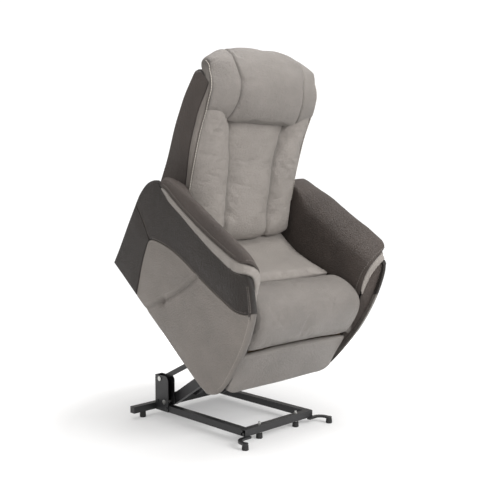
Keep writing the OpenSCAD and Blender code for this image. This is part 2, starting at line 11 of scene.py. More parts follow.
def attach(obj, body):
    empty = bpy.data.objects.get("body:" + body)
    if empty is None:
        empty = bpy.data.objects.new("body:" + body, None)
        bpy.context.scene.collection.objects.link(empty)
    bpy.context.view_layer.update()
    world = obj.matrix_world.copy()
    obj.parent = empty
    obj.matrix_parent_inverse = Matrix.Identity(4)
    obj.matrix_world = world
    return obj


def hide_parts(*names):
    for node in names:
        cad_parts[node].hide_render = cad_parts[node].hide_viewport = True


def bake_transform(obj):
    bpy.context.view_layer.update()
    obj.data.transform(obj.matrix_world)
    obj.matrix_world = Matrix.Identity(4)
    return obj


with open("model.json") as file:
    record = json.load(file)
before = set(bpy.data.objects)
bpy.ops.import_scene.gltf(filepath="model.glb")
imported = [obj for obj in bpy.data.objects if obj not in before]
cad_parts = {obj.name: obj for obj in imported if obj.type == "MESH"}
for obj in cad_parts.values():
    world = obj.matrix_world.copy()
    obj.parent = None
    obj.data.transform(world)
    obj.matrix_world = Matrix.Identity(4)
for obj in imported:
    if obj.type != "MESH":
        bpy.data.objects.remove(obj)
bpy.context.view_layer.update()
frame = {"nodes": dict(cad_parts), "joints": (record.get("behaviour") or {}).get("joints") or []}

# ------------------------------------------------------------------ the chair's own seated frame
# Upholstery is described in millimetres as (forward, height, sideways), measured from the lower
# rear corner of the sides. The places of two pivots put that frame into the lifted chair.
MM = 0.001
JOINTS = {j["name"]: j for j in frame["joints"]}
BACK_PIVOT = np.array([150.0, 330.0])
LEG_PIVOT = np.array([640.0, 190.0])


def pivot(name):
    return np.array(JOINTS[name]["pos_m"][1:]) / MM


SPAN = pivot("leg_rest") - pivot("back_recline")
FLAT_SPAN = LEG_PIVOT - BACK_PIVOT
TILT = math.atan2(FLAT_SPAN[1], FLAT_SPAN[0]) - math.atan2(SPAN[1], -SPAN[0])
COS, SIN = math.cos(TILT), math.sin(TILT)
ORIGIN_Y = pivot("back_recline")[0] + BACK_PIVOT[0] * COS + BACK_PIVOT[1] * SIN
ORIGIN_Z = pivot("back_recline")[1] + BACK_PIVOT[0] * SIN - BACK_PIVOT[1] * COS


def to_world(points):
    """Points (forward, height, sideways) in the chair's millimetres, as metres in the frame."""
    p = np.atleast_2d(np.asarray(points, float))
    y = ORIGIN_Y - p[:, 0] * COS - p[:, 1] * SIN
    z = ORIGIN_Z - p[:, 0] * SIN + p[:, 1] * COS
    return np.column_stack([p[:, 2], y, z]) * MM


# ------------------------------------------------------------------ curves and noise
LINE_PITCH = 6.0
CURVE_STEPS = 24


def even(line, count):
    """The same line with evenly spaced points."""
    line = np.asarray(line, float)
    far = np.concatenate([[0], np.cumsum(np.linalg.norm(np.diff(line, axis=0), axis=1))])
    at = np.linspace(0, far[-1], count)
    return np.column_stack([np.interp(at, far, line[:, k]) for k in range(line.shape[1])])


def spline(points, count=0):
    """A Catmull-Rom curve through the points, with evenly spaced samples."""
    p = np.asarray(points, float)
    ends = np.vstack([2 * p[0] - p[1], p, 2 * p[-1] - p[-2]])
    t = np.linspace(0, 1, CURVE_STEPS, endpoint=False)[:, None]
    runs = []
    for a, b, c, d in zip(ends, ends[1:], ends[2:], ends[3:]):
        runs.append(0.5 * (2 * b + (c - a) * t + (2 * a - 5 * b + 4 * c - d) * t**2
                           + (3 * b - a - 3 * c + d) * t**3))
    dense = np.vstack(runs + [p[-1:]])
    return even(dense, count or max(3, int(length(dense) / LINE_PITCH) + 1))


def length(line):
    return np.linalg.norm(np.diff(line, axis=0), axis=1).sum()


def unit(v):
    return v / np.maximum(np.linalg.norm(v, axis=-1, keepdims=True), 1e-9)


def left_of(ahead):
    """Unit normals on the left of 2-D directions."""
    return unit(np.column_stack([-ahead[:, 1], ahead[:, 0]]))


def ripple(points, size, seed):
    """Smooth noise between about -1 and 1 with features of the given size."""
    rng = np.random.default_rng(seed)
    p = np.asarray(points, float) / size
    total = np.zeros(p.shape[:-1])
    for _ in range(9):
        way = rng.normal(size=p.shape[-1])
        way *= rng.uniform(0.6, 1.5) / np.linalg.norm(way) * 2.2
        total += np.sin(p @ way + rng.uniform(0, 6.28))
    return total / 3.2


def gap_to(points, line):
    """Distance of each 2-D point from a polyline."""
    best = np.full(len(points), 1e9)
    for a, b in zip(line, line[1:]):
        ab = b - a
        t = np.clip(((points - a) @ ab) / max(ab @ ab, 1e-9), 0, 1)
        best = np.minimum(best, np.linalg.norm(points - a - t[:, None] * ab, axis=1))
    return best


def between(first, second, w):
    """A grid whose columns run from one line to the other."""
    w = w[None, :, None]
    return first[:, None] * (1 - w) + second[:, None] * w


def rounded(t):
    """Rise of a quarter circle, from 0 at its start to 1 at its end."""
    return 1 - math.sqrt(max(1 - t * t, 0))


def round_over(d, radius):
    """How far a rounded edge falls away at a distance d from it."""
    inside = np.clip(radius - d, 0, radius)
    return radius - np.sqrt(np.maximum(radius**2 - inside**2, 0))


def smooth(x, lo, hi):
    t = np.clip((np.asarray(x, float) - lo) / (hi - lo), 0, 1)
    return t * t * (3 - 2 * t)


def at_height(line, v):
    """Forward place of a line at a height; the line runs upwards."""
    order = np.argsort(line[:, 1])
    return np.interp(v, line[order, 1], line[order, 0])


# ------------------------------------------------------------------ meshes
SEAM_HELD = 0.45
STEPS = 20
FILLING = {
    "quality": 4,
    "mass": 0.25,
    "tension_stiffness": 18,
    "compression_stiffness": 18,
    "shear_stiffness": 8,
    "bending_stiffness": 0.4,
    "shrink_min": -0.012,
    "use_pressure": True,
    "uniform_pressure_force": 4,
}


def plump(obj, edge, cap):
    """Fill a cushion by cloth simulation: its seams stay put and the leather between them swells
    and settles, by no more than the cap in millimetres."""
    rest = np.array([v.co for v in obj.data.vertices])
    held = obj.vertex_groups.new(name="seams")
    for k in np.flatnonzero(edge > SEAM_HELD):
        held.add([int(k)], 1.0, "REPLACE")
    cloth = obj.modifiers.new("filling", "CLOTH")
    for setting, value in FILLING.items():
        setattr(cloth.settings, setting, value)
    cloth.settings.vertex_group_mass = held.name
    cloth.settings.effector_weights.gravity = 0
    cloth.collision_settings.use_collision = False
    cloth.point_cache.frame_start = 1
    cloth.point_cache.frame_end = STEPS
    for step in range(1, STEPS + 1):
        bpy.context.scene.frame_set(step)
    seen = obj.evaluated_get(bpy.context.evaluated_depsgraph_get()).data
    moved = np.array([v.co for v in seen.vertices]) - rest
    bpy.context.scene.frame_set(1)
    obj.modifiers.remove(cloth)
    size = np.linalg.norm(moved, axis=1, keepdims=True)
    limit = cap * MM
    moved *= np.tanh(size / limit) * limit / np.maximum(size, 1e-9)
    obj.data.vertices.foreach_set("co", (rest + moved).ravel())
    obj.data.update()
    finer = obj.modifiers.new("finer", "SUBSURF")
    finer.levels = 1
    final = bpy.data.meshes.new_from_object(
        obj.evaluated_get(bpy.context.evaluated_depsgraph_get()))
    obj.modifiers.remove(finer)
    obj.vertex_groups.clear()
    coarse = obj.data
    obj.data = final
    final.name = obj.name
    bpy.data.meshes.remove(coarse)
    final.shade_smooth()


def make(name, points, faces, body, slot, material, nodes=(), fill=None, edge=None, keep=False,
         swell=0):
    """A smooth piece from points in the chair's frame, which rides on a body."""
    mesh = bpy.data.meshes.new(name)
    mesh.from_pydata(to_world(points).tolist(), [], faces)
    shape = bmesh.new()
    shape.from_mesh(mesh)
    bmesh.ops.recalc_face_normals(shape, faces=shape.faces)
    shape.to_mesh(mesh)
    shape.free()
    mesh.shade_smooth()
    # Edge marks: they pin the seams while filling, and the leather paints shade along them.
    if edge is not None:
        mark = mesh.attributes.new("edge", "FLOAT", "POINT")
        mark.data.foreach_set("value", np.clip(edge, 0, 1).astype(np.float32))
    mesh.materials.append(material)
    obj = bpy.data.objects.new(name, mesh)
    bpy.context.scene.collection.objects.link(obj)
    if swell:
        plump(obj, edge, swell)
    if not keep:
        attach(obj, body)
    if nodes:
        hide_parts(*nodes)
    return obj


def grid_faces(rows, cols, start=0, flip=False, wrap=False):
    faces = []
    for i in range(rows - 1):
        for j in range(cols if wrap else cols - 1):
            k = (j + 1) % cols
            quad = [start + i * cols + j, start + i * cols + k,
                    start + (i + 1) * cols + k, start + (i + 1) * cols + j]
            faces.append(quad[::-1] if flip else quad)
    return faces


def grid_normals(grid):
    along = np.gradient(grid, axis=0)
    over = np.gradient(grid, axis=1)
    return unit(np.cross(along, over))


def slab_mesh(front, back):
    """Points and faces of a closed slab between two grids."""
    rows, cols = front.shape[:2]
    points = np.vstack([front.reshape(-1, 3), back.reshape(-1, 3)])
    half = rows * cols
    faces = grid_faces(rows, cols) + grid_faces(rows, cols, half, flip=True)
    rim = [i * cols for i in range(rows)]
    rim += [(rows - 1) * cols + j for j in range(1, cols)]
    rim += [i * cols + cols - 1 for i in range(rows - 2, -1, -1)]
    rim += [j for j in range(cols - 2, 0, -1)]
    for a, b in zip(rim, rim[1:] + rim[:1]):
        faces.append([b, a, a + half, b + half])
    return points, faces


def slab(name, front, thick, body, slot, material, edge=None, back=None, **more):
    """A closed slab whose outer face is the grid."""
    if back is None:
        back = front - grid_normals(front) * thick
    points, faces = slab_mesh(front, back)
    if edge is not None:
        edge = np.concatenate([edge.ravel(), np.ones(edge.size)])
    return make(name, points, faces, body, slot, material, edge=edge, **more)


def loft(name, rings, body, slot, material, edge=None, **more):
    """A closed body through rings of points, with its ends filled."""
    count, size = rings.shape[:2]
    points = [rings.reshape(-1, 3)]
    faces = grid_faces(count, size, wrap=True)
    base = count * size
    for k, ring in ((0, rings[0]), (count - 1, rings[-1])):
        centre = ring.mean(axis=0)
        inner = centre + (ring - centre) * 0.5
        points += [inner, centre[None]]
        for j in range(size):
            n = (j + 1) % size
            faces.append([k * size + j, k * size + n, base + n, base + j])
            faces.append([base + j, base + n, base + size])
        base += size + 1
    if edge is not None:
        extra = np.full(2 * (size + 1), 0.3)
        edge = np.concatenate([edge.ravel(), extra])
    return make(name, np.vstack(points), faces, body, slot, material, edge=edge, **more)


def inset(ring, amount):
    """A closed 2-D outline moved inwards."""
    ahead = np.roll(ring, -1, axis=0) - np.roll(ring, 1, axis=0)
    area = np.sum(ring[:, 0] * np.roll(ring[:, 1], -1) - np.roll(ring[:, 0], -1) * ring[:, 1])
    return ring + left_of(ahead) * amount * (1 if area > 0 else -1)


def within(points, loop):
    """Whether each point is inside a closed outline."""
    inside = np.zeros(len(points), bool)
    for (u0, v0), (u1, v1) in zip(loop, np.roll(loop, -1, axis=0)):
        crosses = (v0 > points[:, 1]) != (v1 > points[:, 1])
        if v1 != v0:
            at = u0 + (points[:, 1] - v0) * (u1 - u0) / (v1 - v0)
            inside ^= crosses & (points[:, 0] < at)
    return inside


EDGE_RINGS = (1.2, 3.0, 5.5, 9.0, 13.5)
FIELD_GAP = 16.0
FIELD_PITCH = 8.0
ROW_HEIGHT = 0.87
OUTLINE_PITCH = 5.0


def triangles(loop):
    """Triangles that fill a closed outline, finer near its edge; the outline's points come first."""
    count = len(loop)
    closed = np.vstack([loop, loop[:1]])
    points = [loop]
    for depth in EDGE_RINGS:
        ring = inset(loop, depth)
        points.append(ring[(gap_to(ring, closed) > depth * 0.9) & within(ring, loop)])
    low, high = loop.min(axis=0), loop.max(axis=0)
    us = np.arange(low[0], high[0], FIELD_PITCH)
    vs = np.arange(low[1], high[1], FIELD_PITCH * ROW_HEIGHT)
    shift = FIELD_PITCH / 2
    field = np.array([[u + (k % 2) * shift, v] for k, v in enumerate(vs) for u in us])
    points.append(field[(gap_to(field, closed) > FIELD_GAP) & within(field, loop)])
    flat = np.vstack(points)
    edges = [(k, (k + 1) % count) for k in range(count)]
    verts, _, faces, origin, _, _ = delaunay_2d_cdt([Vector(p) for p in flat], edges, [], 1, 1e-4)
    found = {}
    for k, sources in enumerate(origin):
        for s in sources:
            found[s] = k
    rim = [found[k] for k in range(count)]
    return np.array([list(v) for v in verts]), [list(f) for f in faces], rim


def clean_loop(parts):
    """One closed outline from consecutive lines, evenly spaced."""
    line = np.vstack(parts + [parts[0][:1]])
    keep = np.concatenate([[True], np.linalg.norm(np.diff(line, axis=0), axis=1) > 0.5])
    line = line[keep]
    return even(line, int(length(line) / OUTLINE_PITCH))[:-1]


CORE_X = 303.0
SEAM_REACH = 5.0
THREAD_LIFT = 0.2


class Panel:
    """A padded panel on the side of the chair: an outline, its width, and its rounded edges."""

    def __init__(self, parts, width, radii, puff=0.0, marks=()):
        self.loop = clean_loop(parts)
        self.closed = np.vstack([self.loop, self.loop[:1]])
        self.width = width
        self.radii = radii
        self.puff = puff
        self.marks = marks

    def surface(self, p):
        """Sideways place of the outer face."""
        x = self.width(p)
        fall = np.zeros(len(p))
        for line, radius in self.radii:
            fall = np.maximum(fall, round_over(gap_to(p, line), radius))
        gap = gap_to(p, self.closed)
        x = x - fall + self.puff * smooth(gap, 0, 60)
        for line, depth, wide in self.marks:
            x -= depth * np.exp(-(gap_to(p, line) / wide) ** 2)
        return x

    def build(self, name, side, depth, body, slot, material, **more):
        flat, faces, rim = triangles(self.loop)
        x = self.surface(flat)
        back = np.maximum(self.width(flat) - depth, CORE_X)
        count = len(flat)
        points = np.vstack([np.column_stack([flat, side * x]),
                            np.column_stack([flat, side * np.minimum(back, x - 2)])])
        faces = faces + [[k + count for k in f[::-1]] for f in faces]
        for a, b in zip(rim, rim[1:] + rim[:1]):
            faces.append([a, b, b + count, a + count])
        # Edge marks at the seams, and at 0.6 in the dart, its tail and the dimple: the leather paints
        # shade in these creases.
        edge = np.exp(-gap_to(flat, self.closed) / SEAM_REACH)
        for line, _, wide in self.marks:
            edge = np.maximum(edge, 0.6 * np.exp(-(gap_to(flat, line) / wide) ** 2))
        edge = np.concatenate([edge, np.ones(count)])
        return make(name, points, faces, body, slot, material, edge=edge, **more)

    def trace(self, line, side):
        """A flat line laid on the outer face."""
        return np.column_stack([line, side * (self.surface(line) + THREAD_LIFT)])


ASKEW = (0.31, 0.2, 0.93)
CORD_SIDES = 8


def around(ahead, sides):
    """Unit circles about directions of travel."""
    a = unit(np.cross(ahead, ASKEW))
    b = np.cross(ahead, a)
    turn = np.linspace(0, 2 * np.pi, sides, endpoint=False)
    return a[:, None] * np.cos(turn)[None, :, None] + b[:, None] * np.sin(turn)[None, :, None]


def tube(name, line, radius, body, slot, material, **more):
    """A round cord along a line in the chair's frame."""
    line = np.asarray(line, float)
    rings = line[:, None] + radius * around(unit(np.gradient(line, axis=0)), CORD_SIDES)
    return loft(name, rings, body, slot, material, **more)


THREAD_SIDES = 5
STITCH_PITCH, STITCH_LONG, STITCH_RADIUS = 9.5, 6.0, 1.25
STITCH_SHAPE = ((-0.5, 0.45), (-0.3, 1.0), (0.3, 1.0), (0.5, 0.45))


def stitch_points(line):
    """Points and faces of a row of thread stitches along a line."""
    steps = max(2, int(length(line) / STITCH_PITCH))
    place = even(line, steps + 1)
    middle = (place[:-1] + place[1:]) / 2
    ahead = unit(np.diff(place, axis=0))
    circle = around(ahead, THREAD_SIDES)
    rings = []
    for shift, size in STITCH_SHAPE:
        along = ahead[:, None] * STITCH_LONG * shift
        rings.append(middle[:, None] + along + circle * STITCH_RADIUS * size)
    points = np.stack(rings, axis=1).reshape(-1, 3)
    each = len(STITCH_SHAPE) * THREAD_SIDES
    faces = []
    for start in range(0, len(points), each):
        faces += grid_faces(len(STITCH_SHAPE), THREAD_SIDES, start, wrap=True)
        faces.append([start + j for j in range(THREAD_SIDES)])
        faces.append([start + each - 1 - j for j in range(THREAD_SIDES)])
    return points, faces


def stitches(name, lines, body, slot, material, **more):
    """Rows of thread stitches, all in one mesh."""
    points, faces, start = [], [], 0
    for line in lines:
        p, f = stitch_points(line)
        points.append(p)
        faces += [[k + start for k in face] for face in f]
        start += len(p)
    return make(name, np.vstack(points), faces, body, slot, material, **more)


# ------------------------------------------------------------------ materials
def nodes_of(name):
    mat = bpy.data.materials.new(name)
    mat.use_nodes = True
    tree = mat.node_tree
    shader = tree.nodes["Principled BSDF"]
    place = tree.nodes.new("ShaderNodeTexCoord").outputs["Object"]
    return mat, tree, shader, place


def feed(tree, node, values):
    """Give a node's inputs their numbers and colours, or link them to other nodes."""
    for socket, value in values.items():
        if isinstance(value, bpy.types.NodeSocket):
            tree.links.new(value, node.inputs[socket])
        else:
            node.inputs[socket].default_value = value
    return node


def noise(tree, place, scale, detail=4.0, rough=0.55, stretch=None):
    if stretch:
        mapping = tree.nodes.new("ShaderNodeMapping")
        place = feed(tree, mapping, {"Scale": stretch, "Vector": place}).outputs["Vector"]
    node = tree.nodes.new("ShaderNodeTexNoise")
    feed(tree, node, {"Scale": scale, "Detail": detail, "Roughness": rough, "Vector": place})
    return node.outputs["Fac"]


def cells(tree, place, scale):
    node = tree.nodes.new("ShaderNodeTexVoronoi")
    node.feature = "DISTANCE_TO_EDGE"
    return feed(tree, node, {"Scale": scale, "Vector": place}).outputs["Distance"]


def ramp(tree, value, stops):
    node = tree.nodes.new("ShaderNodeValToRGB")
    bar = node.color_ramp
    while len(bar.elements) < len(stops):
        bar.elements.new(0.5)
    for element, (at, colour) in zip(bar.elements, stops):
        element.position = at
        element.color = (*colour, 1)
    return feed(tree, node, {"Fac": value}).outputs["Color"]


def mix(tree, factor, base, colour):
    """A colour laid over the base where the factor is high."""
    node = tree.nodes.new("ShaderNodeMix")
    node.data_type = "RGBA"
    return feed(tree, node, {0: factor, 6: base, 7: (*colour, 1)}).outputs[2]


def reach(tree, value, lo, hi, to_lo, to_hi):
    node = tree.nodes.new("ShaderNodeMapRange")
    return feed(tree, node, {0: value, 1: lo, 2: hi, 3: to_lo, 4: to_hi}).outputs[0]


def sums(tree, a, b, how="ADD"):
    node = tree.nodes.new("ShaderNodeMath")
    node.operation = how
    return feed(tree, node, {0: a, 1: b}).outputs[0]


def bump(tree, shader, height, strength, depth):
    node = tree.nodes.new("ShaderNodeBump")
    feed(tree, node, {"Strength": strength, "Distance": depth, "Height": height})
    feed(tree, shader, {"Normal": node.outputs["Normal"]})


def shade(colour, factor):
    return tuple(c * factor for c in colour)


# Share of painted shade laid on the leather along its seams and creases.
SEAM_SHADE = 0.62


def leather(name, colour, rough=0.4, mottle=0.15, gloss=0.42):
    """Corrected-grain leather: fine pebbled grain, cloudy dye, and painted shade along its seams and
    creases.
    """
    mat, tree, shader, place = nodes_of(name)
    cloud = noise(tree, place, 7.0, 5.0, 0.6)
    fine = noise(tree, place, 42.0, 6.0, 0.65)
    tone = sums(tree, cloud, sums(tree, fine, 0.6, "MULTIPLY"), "ADD")
    base = ramp(tree, reach(tree, tone, 0.55, 1.05, 0, 1),
                [(0.0, shade(colour, 1 - mottle)), (0.5, colour), (1.0, shade(colour, 1 + mottle))])
    pebble = cells(tree, place, 430.0)
    pores = reach(tree, pebble, 0.0, 0.22, 0.0, 1.0)
    base = mix(tree, reach(tree, pores, 0, 1, 0.22, 0.0), base, shade(colour, 0.55))
    # Painted shade: the mesh's edge marks darken the leather along its seams and in its pressed creases.
    mark = tree.nodes.new("ShaderNodeAttribute")
    mark.attribute_name = "edge"
    seam = reach(tree, mark.outputs["Fac"], 0.25, 1.0, 0.0, SEAM_SHADE)
    base = mix(tree, seam, base, shade(colour, 0.42))
    feed(tree, shader, {"Base Color": base,
                        "Roughness": reach(tree, fine, 0.3, 0.75, rough - 0.06, rough + 0.1),
                        "Specular IOR Level": gloss, "Sheen Weight": 0.05, "Sheen Roughness": 0.5})
    wrinkle = noise(tree, place, 85.0, 6.0, 0.62, (1.0, 1.6, 1.3))
    folds = reach(tree, cells(tree, place, 95.0), 0.0, 0.16, 0.0, 0.15)
    height = sums(tree, sums(tree, sums(tree, pores, 0.16, "MULTIPLY"), folds), wrinkle)
    bump(tree, shader, height, 0.75, 0.005)
    return mat


def thread(name, colour):
    """Twisted sewing thread."""
    mat, tree, shader, place = nodes_of(name)
    twist = noise(tree, place, 900.0, 2.0, 0.5)
    tone = ramp(tree, twist, [(0.3, shade(colour, 0.7)), (0.7, shade(colour, 1.1))])
    feed(tree, shader, {"Base Color": tone,
                        "Roughness": reach(tree, twist, 0.2, 0.8, 0.5, 0.75),
                        "Sheen Weight": 0.15})
    bump(tree, shader, twist, 0.4, 0.0003)
    return mat


def powder_coat(name, colour, rough=0.42):
    """Black powder coat: fine orange peel, dust on it, and rubbed patches."""
    mat, tree, shader, place = nodes_of(name)
    peel = noise(tree, place, 520.0, 3.0, 0.6)
    dust = noise(tree, place, 18.0, 6.0, 0.62)
    base = ramp(tree, dust, [(0.35, colour), (0.7, shade(colour, 1.9))])
    worn = noise(tree, place, 60.0, 6.0, 0.7)
    base = mix(tree, reach(tree, worn, 0.66, 0.78, 0.0, 0.35), base, (0.09, 0.088, 0.085))
    feed(tree, shader, {"Base Color": base,
                        "Roughness": reach(tree, dust, 0.3, 0.75, rough - 0.08, rough + 0.14),
                        "Specular IOR Level": 0.5, "Coat Weight": 0.12, "Coat Roughness": 0.3})
    bump(tree, shader, peel, 0.25, 0.0004)
    return mat


def metal(name, colour, rough, stretch):
    """Bare or plated steel with fine drawn lines and smudges."""
    mat, tree, shader, place = nodes_of(name)
    lines = noise(tree, place, 300.0, 4.0, 0.6, stretch)
    smudge = noise(tree, place, 35.0, 5.0, 0.6)
    tone = ramp(tree, smudge, [(0.3, shade(colour, 0.72)), (0.7, colour)])
    mixed = sums(tree, lines, smudge)
    feed(tree, shader, {"Base Color": tone,
                        "Roughness": reach(tree, mixed, 0.6, 1.4, rough - 0.08, rough + 0.12),
                        "Metallic": 1.0})
    bump(tree, shader, lines, 0.4, 0.0002)
    return mat


def moulded(name, colour, rough=0.5, grain=800.0):
    """Moulded plastic or rubber with a spark-eroded grain and light scuffs."""
    mat, tree, shader, place = nodes_of(name)
    fine = noise(tree, place, grain, 3.0, 0.6)
    scuff = noise(tree, place, 28.0, 6.0, 0.65)
    tone = ramp(tree, scuff, [(0.35, colour), (0.72, shade(colour, 1.7))])
    feed(tree, shader, {"Base Color": tone,
                        "Roughness": reach(tree, scuff, 0.3, 0.7, rough - 0.06, rough + 0.12)})
    bump(tree, shader, fine, 0.35, 0.0004)
    return mat


def plywood(name):
    """Board with a dark stain deepened into painted shade, so it reads as shadow where it shows between
    the roll and the leg rest; long grain and darker pores.
    """
    mat, tree, shader, place = nodes_of(name)
    grain = noise(tree, place, 30.0, 8.0, 0.6, (0.25, 6.0, 6.0))
    pore = noise(tree, place, 160.0, 4.0, 0.6, (0.1, 5.0, 5.0))
    tone = ramp(tree, grain, [(0.3, (0.0792, 0.0484, 0.0242)), (0.55, (0.121, 0.0814, 0.044)),
                              (0.75, (0.1386, 0.1012, 0.0616))])
    tone = mix(tree, reach(tree, pore, 0.6, 0.7, 0, 0.5), tone, (0.044, 0.0242, 0.011))
    feed(tree, shader, {"Base Color": tone,
                        "Roughness": reach(tree, grain, 0.3, 0.7, 0.5, 0.68)})
    bump(tree, shader, pore, 0.4, 0.0004)
    return mat


LIGHT = (0.275, 0.25, 0.229)
# Light leather darkened as painted shade for the side panels, the back's side bands and the piping.
LIGHT_PAINTED_SIDE_SHADE = (0.2, 0.178, 0.16)
DARK = (0.047, 0.036, 0.0305)
hide = leather("light_hide", LIGHT)
# Painted shade: light leather darkened on the front roll and leg rest, and on the headrest.
front_painted_shade_hide = leather("light_hide_front_painted_shade", shade(LIGHT, 0.65))
head_painted_shade_hide = leather("light_hide_head_painted_shade", shade(LIGHT, 0.73))
# Painted shade: the darker side colour above, on the same light leather.
side_painted_shade_hide = leather("light_side_painted_shade", LIGHT_PAINTED_SIDE_SHADE, rough=0.46)
# Lit and shaded copies of the dark leather: painted light brightens it 1.15 times on all but the outer
# side panels, and painted shade darkens those to 0.52.
dark_hide = leather("dark_hide", shade(DARK, 1.15), rough=0.48, mottle=0.2)
dark_painted_shade_hide = leather("dark_painted_shade_hide", shade(DARK, 0.52), rough=0.44, mottle=0.2, gloss=0.28)
pale_thread = thread("pale_thread", (0.72, 0.67, 0.6))
dark_thread = thread("dark_thread", (0.16, 0.14, 0.125))
grey_thread = thread("grey_thread", (0.33, 0.3, 0.27))

FINISH = {
    "black_steel": powder_coat("black_steel", (0.011, 0.011, 0.012)),
    "bright_steel": metal("bright_steel", (0.62, 0.62, 0.6), 0.28, (1, 1, 12)),
    "black_bolts": powder_coat("black_bolts", (0.02, 0.02, 0.021), 0.36),
    "rod_steel": metal("rod_steel", (0.7, 0.7, 0.69), 0.2, (8, 8, 1)),
    "spring_steel": metal("spring_steel", (0.34, 0.33, 0.31), 0.38, (1, 8, 1)),
    "foot_rubber": moulded("foot_rubber", (0.014, 0.014, 0.014), 0.7, 500.0),
    "end_cap_plastic": moulded("end_cap_plastic", (0.02, 0.02, 0.021), 0.48),
    "black_plastic": moulded("black_plastic", (0.025, 0.025, 0.027), 0.45),
    "timber": plywood("timber"),
}


# ------------------------------------------------------------------ the sides
BOTTOM_W, TOP_W = 312.0, 404.0
INNER_W = 292.5
FRONT = spline([(700, 0), (728, 3), (748, 20), (764, 43), (772, 68), (777, 100), (781, 156),
                (782, 224), (780, 279), (775, 327), (764, 385), (752, 430), (740, 458),
                (723, 490), (700, 526), (672, 556), (640, 578)])
REAR = spline([(0, 6), (7, 91), (12, 219), (20, 334), (27, 389), (46, 448), (76, 490),
               (111, 512), (140, 519)])
BOUNDARY = spline([(200, 0), (188, 48), (171, 136), (165, 216), (169, 273), (213, 306),
                   (297, 339), (378, 357), (462, 368), (563, 383), (646, 399), (690, 408),
                   (722, 424), (744, 446)])
REAR_SEAM = spline([(20, 334), (91, 312), (169, 273)])
DART = spline([(466, 367), (452, 314), (415, 237), (375, 160), (350, 119)])
DART_TAIL = spline([(350, 119), (318, 75), (279, 8)])
DIMPLE = np.array([[352, 121], [346, 113.0]])


def side_width(p):
    """Half width over the sides, which lean outwards and curl in at the front."""
    v = p[..., 1]
    wide = BOTTOM_W + (TOP_W - BOTTOM_W) * np.clip((v + 5) / 595, 0, 1)
    turn_in = np.interp(v, [0, 85, 300, 448, 530, 580], [2, 14, 26, 28, 12, 5])
    t = np.clip((p[..., 0] - at_height(FRONT, v) + 110) / 110, 0, 1)
    soft = 3.0 * ripple(p, 130.0, 5)
    return wide - turn_in * t * t + soft * 0.5


def part_of(line, lo, hi):
    """The points of a line between two heights."""
    return line[(line[:, 1] >= lo) & (line[:, 1] <= hi)]


strip_low = spline([(140, 503), (173, 500), (202, 494), (241, 496), (289, 500), (360, 503),
                    (424, 507), (487, 511), (546, 518), (603, 527), (638, 540), (662, 552)])
bottom_line = np.array([[700, 0], [200, 0.0]])
low_front = part_of(FRONT, -1, 446)
light_panel = Panel([BOUNDARY, low_front[::-1], bottom_line], side_width,
                    [(BOUNDARY, 6), (low_front, 13), (bottom_line, 8)], puff=4,
                    marks=[(DART, 8.5, 8.0), (DART_TAIL, 4.0, 12.0), (DIMPLE, 8.0, 19.0)])
rear_up = part_of(REAR, 0, 334)
rear_panel = Panel([rear_up, REAR_SEAM, BOUNDARY[BOUNDARY[:, 1] <= 273][::-1],
                    np.array([[200, 0], [6, 0.0]])], side_width,
                   [(REAR_SEAM, 5), (BOUNDARY, 6), (rear_up, 12),
                    (np.array([[0, 0], [200, 0.0]]), 8)], puff=3)
top_bound = BOUNDARY[BOUNDARY[:, 0] >= 169]
top_bound = top_bound[top_bound[:, 1] >= 273]
up_front = part_of(FRONT, 447, 548)
arm_rear = part_of(REAR, 335, 506)
arm_panel = Panel([REAR_SEAM, top_bound, up_front, strip_low[::-1], arm_rear[::-1]], side_width,
                  [(REAR_SEAM, 5), (top_bound, 6), (up_front, 9), (strip_low, 3.5), (arm_rear, 12)],
                  puff=3)


def row_along(panel, line, gap, side):
    """A line beside a seam, laid on the panel: kept where it stays on the panel."""
    return panel.trace(line + left_of(np.gradient(line, axis=0)) * gap, side)


def on_side(points, sink):
    """Points on the outer face of the side, sunk a little under it."""
    return [(u, v, float(side_width(np.array([u, v]))) - sink) for u, v in points]


# Strip along the arm: its lower and upper edges, round the front and down beside the inner wall
strip_low3 = on_side([(140, 500), (173, 496), (202, 490), (241, 492), (289, 496), (360, 499),
                       (424, 503), (487, 507), (546, 514), (603, 523), (638, 538)], 0.0)
strip_low3 += [(662, 552, 384), (670, 546, 362), (678, 515, 338), (688, 480, 323),
               (702, 445, 311), (712, 420, 304)]
strip_high3 = on_side([(142, 508), (166, 515), (213, 514), (281, 517), (345, 524), (407, 531),
                       (468, 539), (524, 549), (578, 559), (610, 568)], 1)
strip_high3 += [(634, 576, 381), (651, 573, 350), (661, 556, 324), (668, 526, 306),
                (675, 492, 300), (685, 460, 298), (700, 428, 297)]
ARM_STATIONS = 120
low_edge = spline(strip_low3, ARM_STATIONS)
high_edge = spline(strip_high3, ARM_STATIONS)


def strip_grid():
    """Light strip along the arm, crowned, with a cross seam and gathers round the front corner."""
    across = np.linspace(0, 1, 11)
    grid = between(low_edge, high_edge, across)
    n = grid_normals(grid)
    n *= np.sign(n[..., 2].mean())
    wide = np.linalg.norm(high_edge - low_edge, axis=1)
    crown = np.minimum(wide * 0.17, 6.5)[:, None] * (1 - (2 * across - 1) ** 4)[None]
    along = np.linspace(0, 1, ARM_STATIONS)
    gather = smooth(along, 0.60, 0.70) * (1 - 0.7 * smooth(along, 0.85, 1.0))
    pucker = 1.5 * gather * np.sin(along * 260 + 2 * np.sin(along * 37))
    pucker = pucker[:, None] * (0.35 + 0.65 * np.abs(2 * across - 1))[None]
    seam = np.exp(-((along - 0.655) * 170) ** 2)[:, None] * 2.5
    return grid + n * (crown + pucker - seam)[..., None]


PAD_FROM, PAD_TO = 135.0, 604.0
PAD_ROWS, WALL_ROWS = 30, 30


